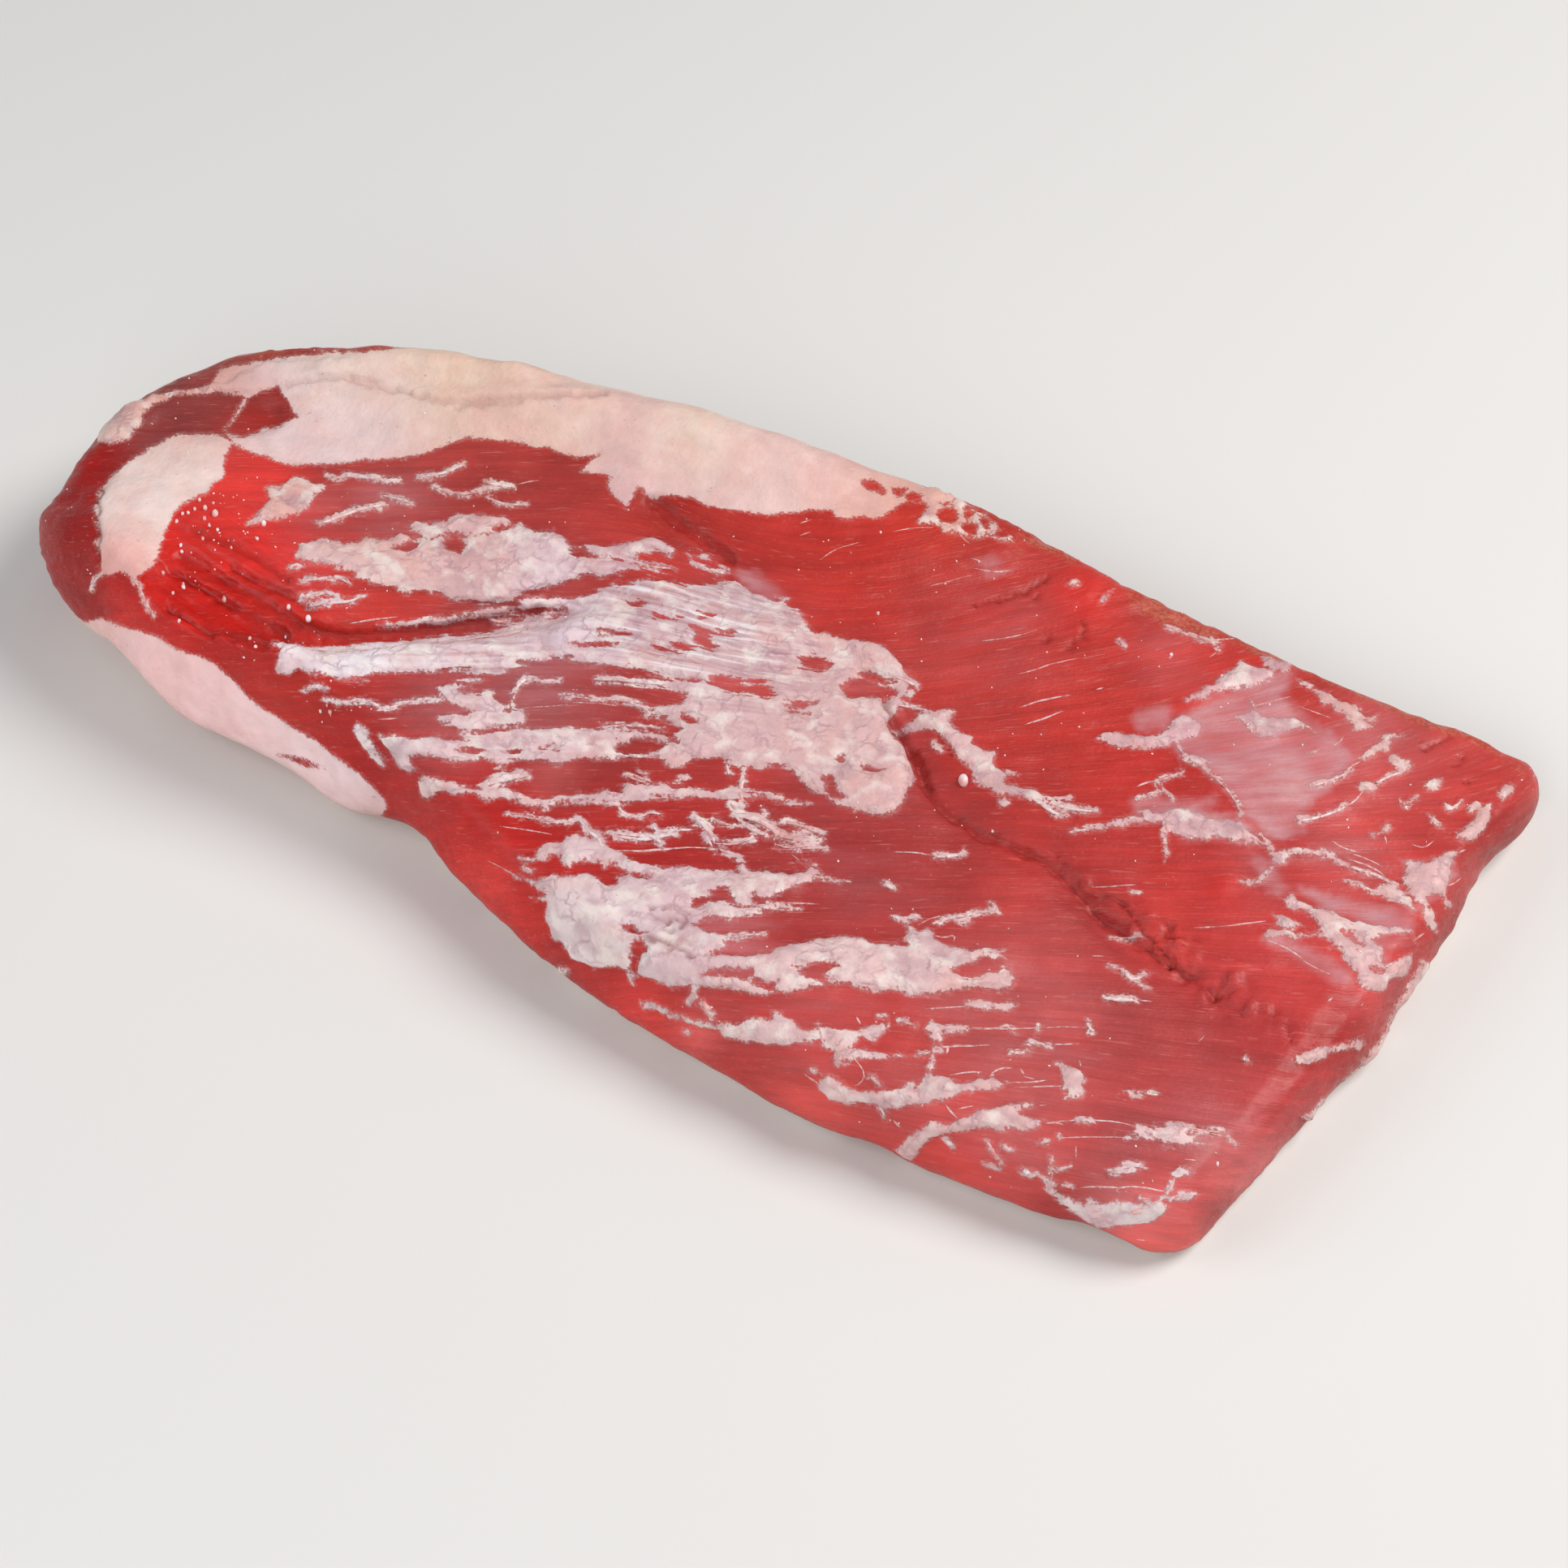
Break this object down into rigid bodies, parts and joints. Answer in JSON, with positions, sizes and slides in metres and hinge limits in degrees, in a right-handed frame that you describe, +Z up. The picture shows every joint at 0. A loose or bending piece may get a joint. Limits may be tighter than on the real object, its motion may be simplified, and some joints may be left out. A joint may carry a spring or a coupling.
{
  "type": "raw beef brisket",
  "caption": "Whole raw beef brisket lying meat side up: thick rounded point end, long flat end with a squared cut, and a fat cap underneath that wraps up one side as a pale roll.",
  "frame": {"origin": "centre of the bounding box at the table surface the brisket lies on", "axes": "+X along the slab towards the squared flat end, +Y across it towards the side with the fat roll, +Z up through the thickness"},
  "size_m": [0.5561, 0.269, 0.0807],
  "materials": {
    "lean": "wet raw lean beef, fibrous, with streaks and patches of fat",
    "fat": "firm moist beef fat, pale pink to cream"
  },
  "bodies": {
    "root": {"lean": "lean", "fat_cap": "fat"}
  },
  "joints": []
}
